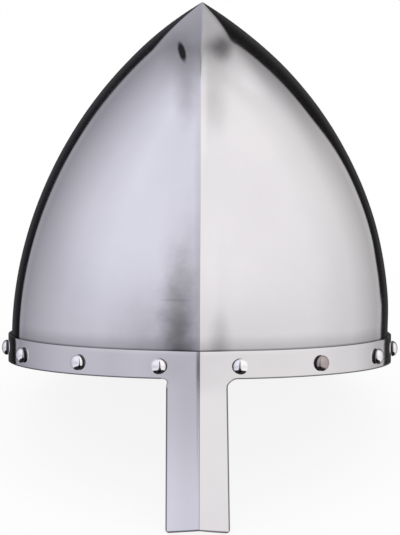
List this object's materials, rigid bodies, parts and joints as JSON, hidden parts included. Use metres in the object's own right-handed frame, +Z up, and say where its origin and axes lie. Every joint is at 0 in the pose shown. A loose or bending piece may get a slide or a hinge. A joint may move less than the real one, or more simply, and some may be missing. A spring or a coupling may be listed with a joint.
{
  "type": "pointed nasal helmet",
  "caption": "Pointed steel helmet with a ridge down the front of its crown, a riveted brow band and a long nasal guard in one piece with the band.",
  "frame": {"origin": "middle of the helmet's box, on the surface that it rests on", "axes": "+Z up from that surface, the helmet's front towards -Y, +X across it; the helmet leans back 19 degrees on its nasal and the back of its rim"},
  "size_m": [0.213, 0.2606, 0.2195],
  "materials": {
    "crown_steel": "satin ground sheet steel, half polished",
    "band_steel": "satin sheet steel with bright edges",
    "rivet_steel": "polished domed heads"
  },
  "bodies": {
    "root": {"crown": "crown_steel", "brow_band": "band_steel", "rivet_01": "rivet_steel", "rivet_02": "rivet_steel", "rivet_03": "rivet_steel", "rivet_04": "rivet_steel", "rivet_05": "rivet_steel", "rivet_06": "rivet_steel", "rivet_07": "rivet_steel", "rivet_08": "rivet_steel", "rivet_09": "rivet_steel", "rivet_10": "rivet_steel", "rivet_11": "rivet_steel", "rivet_12": "rivet_steel", "rivet_13": "rivet_steel", "rivet_14": "rivet_steel"}
  },
  "joints": []
}
